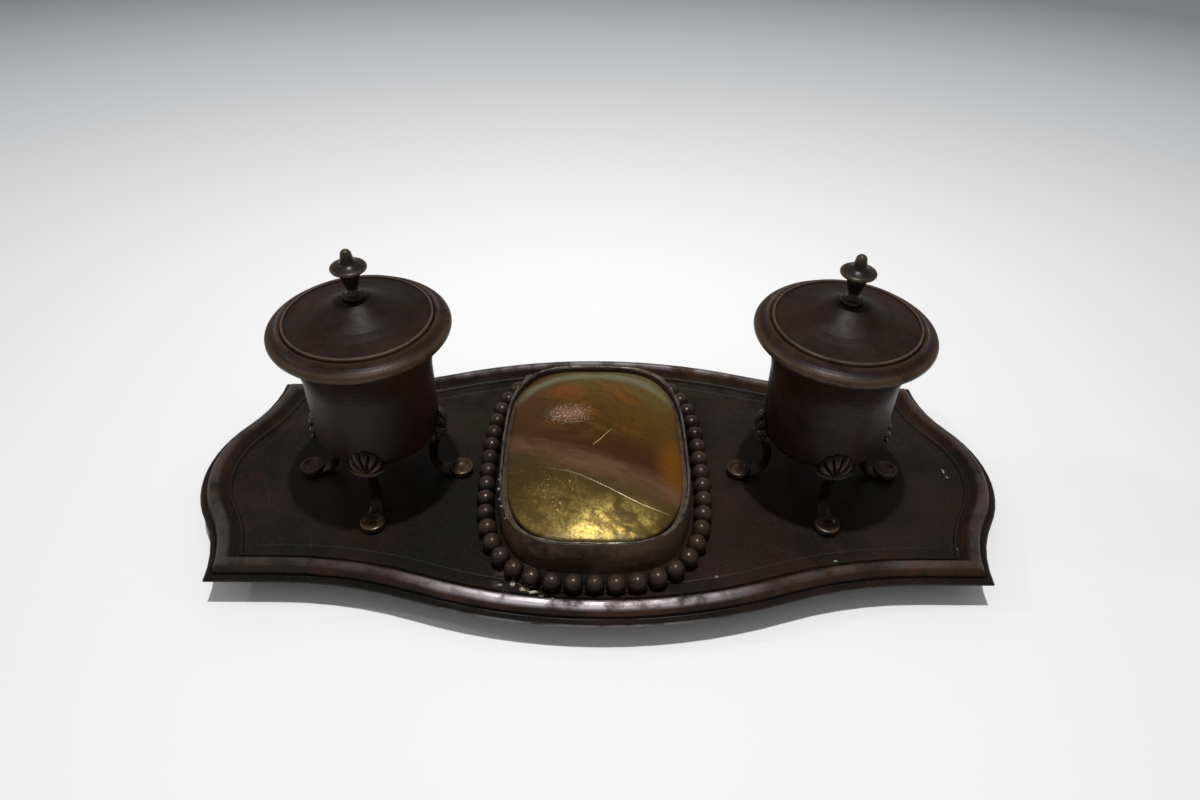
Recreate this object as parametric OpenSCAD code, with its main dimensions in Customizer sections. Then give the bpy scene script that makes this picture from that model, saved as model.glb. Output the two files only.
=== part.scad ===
// Double desk inkstand: a moulded bronze tray that carries two lidded ink pots on cabriole
// legs and a glass cabochon in a bezel, ringed with beads.
// Millimetres. X runs along the stand, the front faces -Y and Z is up. The stand rests on
// Z = 0 with the middle of the tray over the origin.

/* [Tray] */
// Width of the tray between its corners
tray_w = 305; // [280:1:330]
// Depth of the tray between its corners
tray_d = 120; // [110:1:135]
// How far the front and back edges swell beyond the corners
long_swell = 20; // [12:1:26]
// Radius of the outward curve of the front and back edges
long_swell_r = 229; // [180:1:260]
// Half length of the front edge that the swell takes up
long_swell_reach = 125; // [110:1:132]
// How far the two ends swell beyond the corners
end_swell = 18.5; // [12:0.5:20]
// Radius of the outward curve of the two ends
end_swell_r = 52; // [40:1:60]
// Half length of the end that the swell takes up
end_swell_reach = 60; // [54:1:60]
// Thickness of the sunk pan
pan_t = 1.9; // [1.6:0.1:2.6]
// Height of the moulded rim above the underside
rim_h = 6.4; // [5.6:0.1:8]
// Height of the thin flange outside the rim
flange_h = 2; // [1.8:0.1:2.6]
// Width of the thin flange outside the rim
flange_w = 2.4; // [2:0.1:3]
// Width of the roll from the flange to its crest
roll_w = 4.2; // [3.6:0.1:5]
// Width of the hollow slope from the crest down to the pan
slope_w = 4.5; // [4:0.1:6]
// Width of the raised line around the pan
fillet_w = 1.6; // [1.2:0.1:2.2]
// Height of the raised line above the pan
fillet_h = 0.8; // [0.5:0.1:1.2]

/* [Tray feet] */
// Height of the four bun feet
foot_h = 11.5; // [8:0.1:14]
// Radius of a bun foot
foot_r = 6.4; // [5.4:0.1:7.4]
// Radius of the stud of a bun foot
foot_stud_r = 1.5; // [1.2:0.1:1.8]
// Length of the stud of a bun foot
foot_stud_l = 2.4; // [2:0.1:2.6]
// Distance of a bun foot from the tray corner, along each side
foot_inset = 22; // [20:0.5:26]

/* [Pots] */
// Distance of each pot from the middle of the tray
pot_x = 92.5; // [88:0.5:98]
// Outer radius of a pot
pot_r = 25.1; // [24.2:0.1:26.5]
// Thickness of the pot wall
pot_wall = 1.4; // [1:0.1:1.8]
// Height of the underside of the pot above the pan
pot_lift = 24.5; // [22:0.5:28]
// Height of a pot from its underside to the crest of its rim
pot_h = 56.3; // [53:0.1:60]
// Radius of the rounded lower edge of a pot
pot_round = 4.5; // [3:0.5:6]
// Outer radius of the rolled rim
lip_r = 34.7; // [33.5:0.1:36]
// Radius of the rolled edge of the rim
lip_roll = 2; // [1.6:0.1:2.4]
// Drop from the crest of the rim to the middle of its rolled edge
lip_drop = 4.3; // [3.8:0.1:5]
// Height over which the wall flares out to the rim
flare_h = 21; // [15:0.5:25]

/* [Lids] */
// Radius of a lid
lid_r = 28.2; // [27.5:0.1:28.6]
// Gap all round between a lid and the rim it drops into
lid_gap = 0.35; // [0.3:0.05:0.6]
// Depth of the recess that a lid drops into
lid_seat_depth = 2.6; // [2:0.1:3.4]
// Height of the edge of a lid above its seat
lid_edge_h = 3.2; // [2.6:0.1:4.4]
// Thickness of a lid
lid_t = 1.6; // [1.2:0.1:2.2]
// Rise of the lid from its edge to the collar of the finial
lid_rise = 8.2; // [6:0.1:10]
// Radius of the raised bead at the edge of a lid
lid_bead_r = 0.55; // [0.45:0.05:0.9]

/* [Finials] */
// Height of a finial above the lid
finial_h = 20.1; // [16:0.1:24]
// Radius of the collar of a finial
finial_collar_r = 4.85; // [4:0.05:5.5]
// Radius of the waist of a finial
finial_waist_r = 2.1; // [1.8:0.1:2.5]
// Radius of the neck of a finial beneath its disc
finial_neck_r = 4; // [3.4:0.1:4.8]
// Radius of the disc of a finial
finial_disc_r = 6.7; // [6:0.1:8]
// Radius of the teat on top of a finial
finial_teat_r = 1.75; // [1.4:0.05:2.2]
// Radius of the threaded stud of a finial
finial_stud_r = 1.5; // [1.2:0.1:1.8]
// Width across the flats of a finial nut
nut_flats = 5.5; // [5:0.1:7]
// Thickness of a finial nut
nut_t = 1.8; // [1.4:0.1:2.4]

/* [Ink liners] */
// Wall of a glass ink liner
liner_wall = 2.2; // [1.6:0.1:3]
// Gap between a glass liner and the pot wall
liner_gap = 0.8; // [0.5:0.1:1.2]
// Thickness of the flange that a liner hangs by
liner_flange_t = 2; // [1.5:0.1:2.6]
// Width of the ledge that the flange rests on
liner_ledge = 2; // [1.6:0.1:2.6]
// Air under a liner, down to the pot floor
liner_air = 1.6; // [1:0.1:4]
// Thickness of the base of a liner
liner_base = 3.4; // [2.5:0.1:6]

/* [Legs] */
// Distance of the middle of a pad foot out from the pot wall
pad_out = 7.1; // [5:0.1:9]
// Radius of a pad foot
pad_r = 5.1; // [4.6:0.1:5.6]
// Height of a pad foot
pad_h = 3.4; // [2.8:0.1:4.2]
// Radius of the rounded lip of a pad foot
pad_lip_r = 0.65; // [0.5:0.05:0.9]
// How far the shank bends in from the pot wall
shank_in = 3.7; // [2:0.1:5]
// Width of the shank at its narrowest
shank_w = 3.8; // [3.2:0.1:4.6]
// Length of a lobe of the shell on the knee
lobe_l = 8.5; // [7:0.1:9.5]
// Radius of the tip of a lobe
lobe_r = 1.9; // [1.5:0.05:2.2]
// Share of the height of the shell that its half width takes
shell_width = 0.7; // [0.6:0.01:0.8]
// Number of lobes of the shell
lobes = 5; // [5:2:7]
// Angle between two lobes
lobe_fan = 32; // [22:1:34]
// Radius of the peg that fixes a leg to its pot
peg_r = 1.2; // [1:0.1:1.5]
// Radius of the screw that fixes a leg to the tray
leg_screw_r = 1.2; // [1:0.1:1.5]

/* [Centre ornament] */
// Sideways shift of the centre ornament from the middle of the tray
centre_shift = -2.5; // [-4:0.5:4]
// Half width of the foot of the bezel
bezel_x = 40.4; // [38:0.1:41]
// Half depth of the foot of the bezel
bezel_y = 56.2; // [54:0.1:57]
// How far the bezel wall leans in at the top
bezel_lean = 1.1; // [0.6:0.1:2]
// Height of the bezel above the pan
bezel_h = 16; // [13:0.1:19]
// Thickness of the bezel wall
bezel_t = 1; // [0.8:0.1:1.4]
// Width of the gap between the bezel and the cabochon
glass_gap = 2; // [0.8:0.1:2.6]
// Width of the ledge that carries the cabochon
bezel_ledge = 5; // [3.5:0.1:7]
// Squareness of the outline of the bezel and the cabochon
bezel_square = 3.4; // [2.8:0.1:4]
// Thickness of the cabochon at its edge
glass_edge_t = 3.2; // [2:0.1:4.5]
// Rise of the crown of the cabochon above its edge
glass_crown = 7; // [4:0.1:9]
// Half width of the ring of beads, to the bead middles
ring_x = 45.7; // [45.2:0.1:47]
// Half depth of the ring of beads, to the bead middles
ring_y = 64.2; // [62:0.1:64.6]
// Squareness of the outline of the ring of beads
ring_square = 3.1; // [2.6:0.1:3.6]
// Radius of a bead
bead_r = 3.9; // [3.6:0.05:4]
// Distance between two beads along the ring
bead_pitch = 8.05; // [7.9:0.05:9]
// Width of the strip that the beads stand on
strip_w = 3.2; // [2.4:0.1:4.5]
// Thickness of the strip that the beads stand on
strip_t = 0.8; // [0.5:0.1:1.2]

/* [Fits] */
// Clearance between a stud, peg or screw and its hole
fit = 0.05; // [0.02:0.01:0.1]

/* [Build] */
// Which sub-part to draw: all of them, or one by its name
// Smoothness of the turned pieces
turn_fn = 96; // [48:8:144]
// Smoothness of the small round pieces
small_fn = 48; // [24:4:64]

/* [Hidden] */
bronze = [0.23, 0.19, 0.17];
dark_bronze = [0.17, 0.15, 0.14];
warm_bronze = [0.3, 0.21, 0.16];
brassy = [0.55, 0.42, 0.24];
amber = [0.62, 0.43, 0.2];
clear = [0.75, 0.85, 0.85, 0.4];

// heights
boss_h = 1.4;
tray_z = foot_h;
pan_z = tray_z + pan_t;
pot_z = pan_z + pot_lift;
rim_z = pot_z + pot_h;
lid_seat_z = rim_z - lid_seat_depth;
flange_top_z = lid_seat_z - 0.3;
flange_z = flange_top_z - liner_flange_t;
lid_edge_z = lid_seat_z + lid_edge_h;
lid_top_z = lid_edge_z + lid_rise;
roll_r = lip_r - lip_roll;
recess_r = lid_r + lid_gap;
glass_z = pan_z + bezel_h - glass_edge_t - 1.2;
bead_phase = 0.5;
band_z = pot_z - 0.8;

// tray outline: each side is a straight run, a hollow arc and a swelling arc, all tangent
half_w = tray_w / 2;
half_d = tray_d / 2;
long_hollow_r = (pow(long_swell_reach, 2) + pow(long_swell_r - long_swell, 2)
    - pow(long_swell_r, 2)) / (2 * long_swell);
end_hollow_r = (pow(end_swell_reach, 2) + pow(end_swell_r - end_swell, 2)
    - pow(end_swell_r, 2)) / (2 * end_swell);
long_turn = asin(long_swell_reach / (long_swell_r + long_hollow_r));
end_turn = asin(end_swell_reach / (end_swell_r + end_hollow_r));

// a quarter of the outline, moved in by d, from the middle of the front to the middle of
// the right end
function quarter(d) = let (
    lc = long_swell_r - half_d - long_swell,
    ec = half_w + end_swell - end_swell_r,
    start = asin((end_swell_reach - half_d + d) / (end_hollow_r + d)))
    concat(
        [for (i = [0 : 7]) let (t = long_turn * i / 7)
            [(long_swell_r - d) * sin(t), lc - (long_swell_r - d) * cos(t)]],
        [for (i = [1 : 5]) let (t = long_turn * (1 - i / 5))
            [long_swell_reach - (long_hollow_r + d) * sin(t),
                (long_hollow_r + d) * cos(t) - half_d - long_hollow_r]],
        [for (i = [0 : 5]) let (t = start + (end_turn - start) * i / 5)
            [half_w + end_hollow_r - (end_hollow_r + d) * cos(t),
                (end_hollow_r + d) * sin(t) - end_swell_reach]],
        [for (i = [1 : 6]) let (t = end_turn * (1 - i / 6))
            [ec + (end_swell_r - d) * cos(t), -(end_swell_r - d) * sin(t)]]);
function flip(pts, sx, sy) = [for (i = [len(pts) - 1 : -1 : 0]) [sx * pts[i][0], sy * pts[i][1]]];
function tail(pts) = [for (i = [1 : len(pts) - 1]) pts[i]];
function tray_ring(d) = let (q = quarter(d), h = concat(q, tail(flip(q, 1, -1))))
    concat([for (i = [0 : len(h) - 2]) h[i]], [for (i = [0 : len(h) - 2]) -h[i]]);

// moulding of the rim: how far in from the edge, and height above the underside
crest_d = flange_w + 0.4 + roll_w;
slope_d = crest_d + slope_w;
line_d = slope_d + fillet_w;
groove_d = line_d + 4.4;
groove_h = flange_h - 0.5;
moulding = concat(
    [[0.5, 0], [0, 0.5], [0, flange_h - 0.7], [0.7, flange_h], [flange_w - 0.4, flange_h - 0.1],
        [flange_w, groove_h]],
    [for (i = [0 : 5]) [crest_d - roll_w * cos(18 * i), groove_h + (rim_h - groove_h) * sin(18 * i)]],
    [for (i = [1 : 6]) [crest_d + slope_w * i / 6,
        rim_h - (rim_h - pan_t) * (1 - cos(30 * i)) / 2]],
    [for (i = [1 : 3]) [line_d - fillet_w / 2 - fillet_w / 2 * cos(60 * i),
        pan_t + fillet_h * sin(60 * i)]],
    [[groove_d - 0.5, pan_t], [groove_d, pan_t - 0.16], [groove_d + 0.5, pan_t], [groove_d + 1, pan_t]]);
underside = concat(
    [[groove_d + 1, 0]],
    [for (i = [0 : 6]) [crest_d + 0.6 + (roll_w - 0.8) * cos(30 * i),
        max(0, (rim_h - 1.9) * sin(30 * i))]]);

// joins rings of points, each the same length, into a solid: capped at both ends, or closed
// on itself when loop is true
module loft(rings, loop = false) {
    n = len(rings[0]);
    m = len(rings);
    spans = loop ? m : m - 1;
    polyhedron(
        points = [for (r = rings) for (p = r) p],
        faces = concat(
            [for (k = [0 : spans - 1]) for (i = [0 : n - 1]) for (s = [0, 1])
                let (a = k * n, b = ((k + 1) % m) * n, j = (i + 1) % n)
                s == 0 ? [a + i, b + i, a + j] : [a + j, b + i, b + j]],
            loop ? [] : [[for (i = [0 : n - 1]) i],
                [for (i = [n - 1 : -1 : 0]) (m - 1) * n + i]]),
        convexity = 8);
}

// superellipse, used for the bezel, the cabochon and the ring of beads
function super_point(hx, hy, e, a) = let (
    r = 1 / pow(pow(abs(cos(a)) / hx, e) + pow(abs(sin(a)) / hy, e), 1 / e))
    [r * cos(a), r * sin(a)];
function super_ring(hx, hy, e, z, n = 64) = [for (i = [0 : n - 1])
    let (p = super_point(hx, hy, e, 360 * i / n)) [p[0], p[1], z]];

// ring of beads: even spacing along the superellipse
ring_steps = 360;
ring_pts = [for (i = [0 : ring_steps]) super_point(ring_x, ring_y, ring_square, 360 * i / ring_steps)];
function run(pts, i, s) = i >= len(pts) ? [s] :
    concat([s], run(pts, i + 1, s + norm(pts[i] - pts[i - 1])));
ring_run = run(ring_pts, 1, 0);
ring_length = ring_run[ring_steps];
bead_count = round(ring_length / bead_pitch);
ring_table = [for (i = [0 : ring_steps]) [ring_run[i], 360 * i / ring_steps]];

// smooth curve (quadratic B-spline) through a short list of guide points
function guide(pts, u) = let (
    n = len(pts) - 2,
    k = min(floor(u * n), n - 1),
    t = u * n - k,
    a = k == 0 ? pts[0] : (pts[k] + pts[k + 1]) / 2,
    c = k == n - 1 ? pts[n + 1] : (pts[k + 1] + pts[k + 2]) / 2)
    a * pow(1 - t, 2) + pts[k + 1] * 2 * t * (1 - t) + c * pow(t, 2);

// cabriole leg: reach from the pot axis, height, half width across, half depth
pad_reach = pot_r + pad_out;
shank_reach = pot_r - shank_in;
leg_path = [
    [pot_r + 1, band_z, 2.1, 1.5],
    [pot_r - 0.4, pot_z - 3.4, 2, 1.7],
    [shank_reach + 1, pot_z - 6, shank_w / 2, shank_w / 2],
    [shank_reach - 0.6, pan_z + pot_lift * 0.53, shank_w / 2, shank_w / 2],
    [shank_reach - 0.5, pan_z + pot_lift * 0.28, shank_w / 2 + 0.2, shank_w / 2 - 0.1],
    [shank_reach + 1.8, pan_z + 2.8, 2.7, 1.6],
    [pad_reach - 4.8, pan_z + 1.5, 3.4, 1.1],
    [pad_reach - 2.6, pan_z + 1.1, 3.3, 0.6]];
leg_steps = 18;
leg_sides = 12;
collar_steps = [[0, 1.5], [0.03, 1.5], [0.03, 1.22], [0.07, 1.22], [0.07, 1]];
fan_z = band_z + 0.9;
fan_half = lobe_fan * lobes / 2;
back_gap = 0.05;
band_r = 1.5;
band_rise = 2;
pot_floor = 1.6;
pot_fillet = 1.8;

pot_sides = [["left", -pot_x], ["right", pot_x]];
leg_turns = [-90, 90, 180, 0];
leg_rivet_z = fan_z + 5.6;

tray();
bun_foot(-1, -1);  // foot_front_left
bun_foot(1, -1);  // foot_front_right
bun_foot(-1, 1);  // foot_back_left
bun_foot(1, 1);  // foot_back_right
bezel();
cabochon();
bead_ring();
pot(-pot_x);  // pot_left
pot(pot_x);  // pot_right
leg(-pot_x, -90);  // leg_left_front
leg(-pot_x, 90);  // leg_left_back
leg(-pot_x, 180);  // leg_left_outer
leg(-pot_x, 0);  // leg_left_inner
leg(pot_x, -90);  // leg_right_front
leg(pot_x, 90);  // leg_right_back
leg(pot_x, 0);  // leg_right_outer
leg(pot_x, 180);  // leg_right_inner
leg_screws();
leg_rivets();
liner(-pot_x);  // liner_left
liner(pot_x);  // liner_right
lid(-pot_x);  // lid_left
lid(pot_x);  // lid_right
finial(-pot_x);  // finial_left
finial(pot_x);  // finial_right
finial_nut(-pot_x);  // finial_nut_left
finial_nut(pot_x);  // finial_nut_right

// cast tray: sunk pan, moulded rim, four bosses beneath for the feet
module tray() {
    rings = concat(
        [for (m = moulding) [for (p = tray_ring(m[0])) [p[0], p[1], tray_z + m[1]]]],
        [for (m = underside) [for (p = tray_ring(m[0])) [p[0], p[1], tray_z + m[1]]]]);
    pan_ring = tray_ring(groove_d + 0.7);
    color(dark_bronze) difference() {
        union() {
            loft(rings, loop = true);
            translate([0, 0, tray_z]) linear_extrude(pan_t) polygon(pan_ring);
            for (x = [-1, 1], y = [-1, 1]) at_foot(x, y) translate([0, 0, foot_h - boss_h])
                cylinder(r = foot_r - 1.1, h = boss_h + pan_t / 2, $fn = small_fn);
        }
        for (x = [-1, 1], y = [-1, 1]) at_foot(x, y) translate([0, 0, foot_h - boss_h - 1])
            cylinder(r = foot_stud_r + fit, h = 1 + foot_stud_l + 0.1, $fn = small_fn);
        for (s = pot_sides, a = leg_turns) at_pad(s[1], a) translate([0, 0, tray_z - 1])
            cylinder(r = leg_screw_r + fit, h = pan_t + 2, $fn = small_fn);
    }
}

module at_foot(x, y) {
    translate([x * (half_w - foot_inset), y * (half_d - foot_inset), 0]) children();
}

module at_pad(px, a) {
    translate([px, 0, 0]) rotate(a) translate([pad_reach, 0, 0]) children();
}

// turned bun foot with a collar, and a stud that screws into the boss under the tray
module bun_foot(x, y) {
    h = foot_h - boss_h;
    bun = (h - 2.2) / 2;
    color(warm_bronze) at_foot(x, y) rotate_extrude($fn = turn_fn) polygon(concat(
        [[0, 0]],
        [for (i = [0 : 8]) let (t = -58 + 14 * i) [foot_r * cos(t), bun + bun / sin(58) * sin(t)]],
        [[foot_r - 2.4, h - 1.9], [foot_r - 1.5, h - 1.5], [foot_r - 1.1, h - 1.1],
            [foot_r - 1.1, h - 0.3], [foot_r - 1.4, h], [foot_stud_r, h],
            [foot_stud_r, h + foot_stud_l - 0.3], [foot_stud_r - 0.3, h + foot_stud_l],
            [0, h + foot_stud_l]]));
}

// thin upright bezel with a foot flange on the pan and a ledge for the cabochon
module bezel() {
    top_z = pan_z + bezel_h;
    e = bezel_square;
    function wall_x(z) = bezel_x - bezel_lean * (z - pan_z) / bezel_h;
    function wall_y(z) = bezel_y - bezel_lean * (z - pan_z) / bezel_h;
    section = [
        [pan_z, 0.3], [pan_z + 0.3, 0], [top_z - 0.4, 0], [top_z, 0.35],
        [top_z, bezel_t - 0.25], [top_z - 0.4, bezel_t],
        [glass_z, bezel_t], [glass_z, bezel_ledge], [glass_z - 1, bezel_ledge],
        [glass_z - 1.6, bezel_t], [pan_z + 1.2, bezel_t], [pan_z + 1.2, bezel_ledge],
        [pan_z, bezel_ledge]];
    color(bronze) translate([centre_shift, 0, 0]) loft([for (s = section)
        super_ring(wall_x(s[0]) - s[1], wall_y(s[0]) - s[1], e, s[0])], loop = true);
}

// pressed glass cabochon: upright edge, rounded shoulder and a low cushion crown
module cabochon() {
    hx = bezel_x - bezel_lean - bezel_t - glass_gap;
    hy = bezel_y - bezel_lean - bezel_t - glass_gap;
    edge_z = glass_z + glass_edge_t;
    swing = 70;
    color(amber) translate([centre_shift, 0, 0]) loft(concat(
        [super_ring(hx - 0.8, hy - 0.8, bezel_square, glass_z),
            super_ring(hx - 0.1, hy - 0.1, bezel_square, glass_z + 0.7)],
        [for (i = [0 : 11]) let (a = swing * (1 - i / 12), k = sin(a) / sin(swing))
            super_ring(hx * k, hy * k, 2 + (bezel_square - 2) * pow(k, 3),
                edge_z + glass_crown * (cos(a) - cos(swing)) / (1 - cos(swing)))]));
}

// row of beads on a narrow strip, evenly spaced around the bezel
module bead_ring() {
    color(warm_bronze) translate([centre_shift, 0, pan_z]) {
        linear_extrude(strip_t) difference() {
            polygon([for (i = [0 : 71]) super_point(ring_x + strip_w / 2, ring_y + strip_w / 2,
                ring_square, 5 * i)]);
            polygon([for (i = [0 : 71]) super_point(ring_x - strip_w / 2, ring_y - strip_w / 2,
                ring_square, 5 * i)]);
        }
        for (i = [0 : bead_count - 1])
            let (p = super_point(ring_x, ring_y, ring_square,
                lookup(ring_length * (i + bead_phase) / bead_count, ring_table)))
                translate([p[0], p[1], bead_r]) sphere(r = bead_r, $fn = small_fn);
    }
}

// turned outside of a pot, from the axis out to the rolled rim and back to the recess wall
function pot_outside() = concat(
    [[0, pot_z], [pot_r - pot_round, pot_z]],
    [for (i = [1 : 6]) [pot_r - pot_round * (1 - sin(15 * i)),
        pot_z + pot_round * (1 - cos(15 * i))]],
    [for (i = [0 : 8]) let (k = i / 8)
        [pot_r + (roll_r - lip_roll * cos(55) - pot_r) * pow(k, 1.8),
            rim_z - flare_h - lip_drop + (flare_h - lip_roll * sin(55)) * k]],
    [for (i = [1 : 9]) let (a = -125 + 20 * i) [roll_r + lip_roll * cos(a),
        rim_z - lip_drop + lip_roll * sin(a)]],
    [for (i = [1 : 5]) let (t = i / 5,
        a = [roll_r + lip_roll * cos(55), rim_z - lip_drop + lip_roll * sin(55)],
        b = [recess_r + 2.7, rim_z - 2], c = [recess_r + 1.3, rim_z])
        a * pow(1 - t, 2) + b * 2 * t * (1 - t) + c * pow(t, 2)]);

// ink pot: thin wall, flared and rolled rim, stepped recess for the liner and the lid
module pot(px) {
    bore = pot_r - pot_wall;
    floor_z = pot_z + pot_floor;
    color(bronze) difference() {
        translate([px, 0, 0]) rotate_extrude($fn = turn_fn) polygon(concat(
            pot_outside(),
            [[recess_r + 0.5, rim_z - 0.1], [recess_r, rim_z - 0.6], [recess_r, lid_seat_z],
                [bore + liner_ledge + 0.4, lid_seat_z], [bore + liner_ledge + 0.4, flange_z],
                [bore, flange_z]],
            [for (i = [0 : 4]) [bore - pot_fillet * (1 - cos(22.5 * i)),
                floor_z + pot_fillet * (1 - sin(22.5 * i))]],
            [[0, floor_z]]));
        for (a = leg_turns) at_rivet(px, a, pot_r - 5) cylinder(r = peg_r + fit, h = 8, $fn = small_fn);
    }
}

module at_rivet(px, a, reach) {
    translate([px, 0, leg_rivet_z]) rotate(a) translate([reach, 0, 0]) rotate([0, 90, 0]) children();
}

// cabriole leg: fanned shell on the knee, crescent band, stepped collar, curved shank, pad foot
module leg(px, a) {
    color(bronze) translate([px, 0, 0]) rotate(a) difference() {
        union() {
            shank();
            knee_shell();
            knee_band();
            translate([pad_reach, 0, 0]) pad();
        }
        translate([pad_reach, 0, pan_z - 1]) cylinder(r = leg_screw_r + fit, h = 3, $fn = small_fn);
        translate([pot_r - 1, 0, leg_rivet_z]) rotate([0, 90, 0])
            cylinder(r = peg_r + fit, h = 2.3, $fn = small_fn);
    }
}

// curved shank: oval sections swept along the leg, with two steps at the collar
module shank() {
    stations = concat(collar_steps, [for (k = [2 : leg_steps]) [k / leg_steps, 1]]);
    loft([for (s = stations) let (
        p = guide(leg_path, s[0]),
        q = guide(leg_path, min(s[0] + 0.02, 1)) - guide(leg_path, max(s[0] - 0.02, 0)),
        lie = atan2(q[1], q[0]))
        [for (i = [0 : leg_sides - 1]) let (t = 360 * i / leg_sides)
            [p[0] + p[3] * cos(t) * sin(lie), p[2] * s[1] * sin(t),
                p[1] - p[3] * cos(t) * cos(lie)]]]);
}

// point on the knee, given across, up and out from the pot wall
function on_wall(y, z, out) = let (t = y / pot_r * 180 / PI)
    [(pot_r + out) * cos(t), (pot_r + out) * sin(t), z];

function on_fan(r, t, out) = on_wall(r * shell_width * sin(t), fan_z + r * cos(t), out);

// fan of rounded lobes, with hollows between them, wrapped on the pot wall
module knee_shell() {
    cuts = lobes * 6;
    loft([for (i = [0 : cuts]) let (
        t = fan_half * (1 - 2 * i / cuts),
        ridge = sqrt(abs(cos(180 * t / lobe_fan))),
        reach = lobe_l + lobe_r * (0.45 + 0.55 * ridge))
        concat(
            [for (k = [0 : 6]) let (s = 0.08 + 0.92 * k / 6,
                out = 0.5 + (0.4 + lobe_r * 1.1 * ridge) * sin(min(180, 55 + 125 * s * s)))
                on_fan(reach * s, t, out)],
            [for (k = [4 : -1 : 0]) on_fan(reach * (0.08 + 0.23 * k), t, back_gap)])]);
}

// crescent band under the fan, thick in the middle and pointed at its ends
module knee_band() {
    half = (lobe_l + lobe_r * 0.7) * shell_width;
    loft([for (i = [0 : 12]) let (s = i / 6 - 1, r = band_r * pow(1 - 0.94 * s * s, 0.4))
        [for (k = [0 : 7]) on_wall(half * s, band_z + band_rise * s * s + r * cos(45 * k),
            1.3 + r * sin(45 * k))]]);
}

// pad foot: dished top inside a rounded lip
module pad() {
    dish_r = pad_r - 2 * pad_lip_r;
    translate([0, 0, pan_z]) rotate_extrude($fn = small_fn) polygon(concat(
        [[0, 0], [pad_r - 1.4, 0], [pad_r - 0.6, 0.5], [pad_r - 0.2, 1.3]],
        [for (i = [0 : 5]) let (t = -20 + 36 * i) [pad_r - pad_lip_r + pad_lip_r * cos(t),
            pad_h - pad_lip_r + pad_lip_r * sin(t)]],
        [for (i = [1 : 5]) let (t = i / 5) [dish_r * (1 - t), pad_h - pad_lip_r - 0.25 - 0.9 * sin(90 * t)]]));
}

// round-head screws from under the tray up into the pad feet
module leg_screws() {
    color(brassy) for (s = pot_sides, a = leg_turns) at_pad(s[1], a) {
        translate([0, 0, tray_z - 1.2]) cylinder(r1 = 1.7, r2 = 2.3, h = 0.4, $fn = small_fn);
        translate([0, 0, tray_z - 0.8]) cylinder(r = 2.3, h = 0.8, $fn = small_fn);
        translate([0, 0, tray_z - 0.4]) cylinder(r = leg_screw_r, h = pan_t + 2.3, $fn = small_fn);
    }
}

// rivets through the pot wall into the knees
module leg_rivets() {
    color(dark_bronze) for (s = pot_sides, a = leg_turns)
        at_rivet(s[1], a, pot_r - pot_wall - 0.55) {
            cylinder(r = peg_r, h = pot_wall + 1.7, $fn = small_fn);
            cylinder(r = peg_r + 0.6, h = 0.45, $fn = small_fn);
        }
}

// glass ink liner: a cup that hangs by its flange
module liner(px) {
    outer = pot_r - pot_wall - liner_gap;
    inner = outer - liner_wall;
    low_z = pot_z + pot_floor + liner_air;
    hang_r = pot_r - pot_wall + liner_ledge;
    color(clear) translate([px, 0, 0]) rotate_extrude($fn = turn_fn) polygon(concat(
        [[0, low_z], [outer - 3, low_z]],
        [for (i = [1 : 4]) [outer - 3 + 3 * sin(22.5 * i), low_z + 3 - 3 * cos(22.5 * i)]],
        [[outer, flange_z], [hang_r, flange_z], [hang_r, flange_top_z - 0.5],
            [hang_r - 0.5, flange_top_z], [inner + 0.5, flange_top_z], [inner, flange_top_z - 0.5]],
        [for (i = [0 : 4]) [inner - 4 + 4 * cos(22.5 * i), low_z + liner_base + 4 - 4 * sin(22.5 * i)]],
        [[0, low_z + liner_base]]));
}

// lid: flat seat ring, raised bead at the edge, ogee dome up to the finial
lid_curve = [[0.94, 0], [0.85, 0.05], [0.71, 0.15], [0.57, 0.29], [0.46, 0.46], [0.355, 0.68],
    [0.25, 0.87], [0.17, 1]];
module lid(px) {
    color(bronze) translate([px, 0, 0]) difference() {
        rotate_extrude($fn = turn_fn) polygon(concat(
            [[0, lid_top_z]],
            [for (i = [len(lid_curve) - 1 : -1 : 0])
                [lid_r * lid_curve[i][0], lid_edge_z + lid_rise * lid_curve[i][1]]],
            [for (i = [0 : 6]) let (t = 180 - 30 * i) [lid_r - lid_bead_r + lid_bead_r * cos(t),
                lid_edge_z - 0.2 + lid_bead_r * sin(max(t, 0))]],
            [[lid_r, lid_seat_z + 0.3], [lid_r - 0.3, lid_seat_z], [lid_r - lid_t, lid_seat_z],
                [lid_r - lid_t, lid_edge_z - lid_t]],
            [for (i = [1 : len(lid_curve) - 1])
                [lid_r * lid_curve[i][0], lid_edge_z - lid_t + lid_rise * lid_curve[i][1]]],
            [[0, lid_top_z - lid_t]]));
        translate([0, 0, lid_top_z - 5]) cylinder(r = finial_stud_r + fit, h = 8, $fn = small_fn);
    }
}

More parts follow.
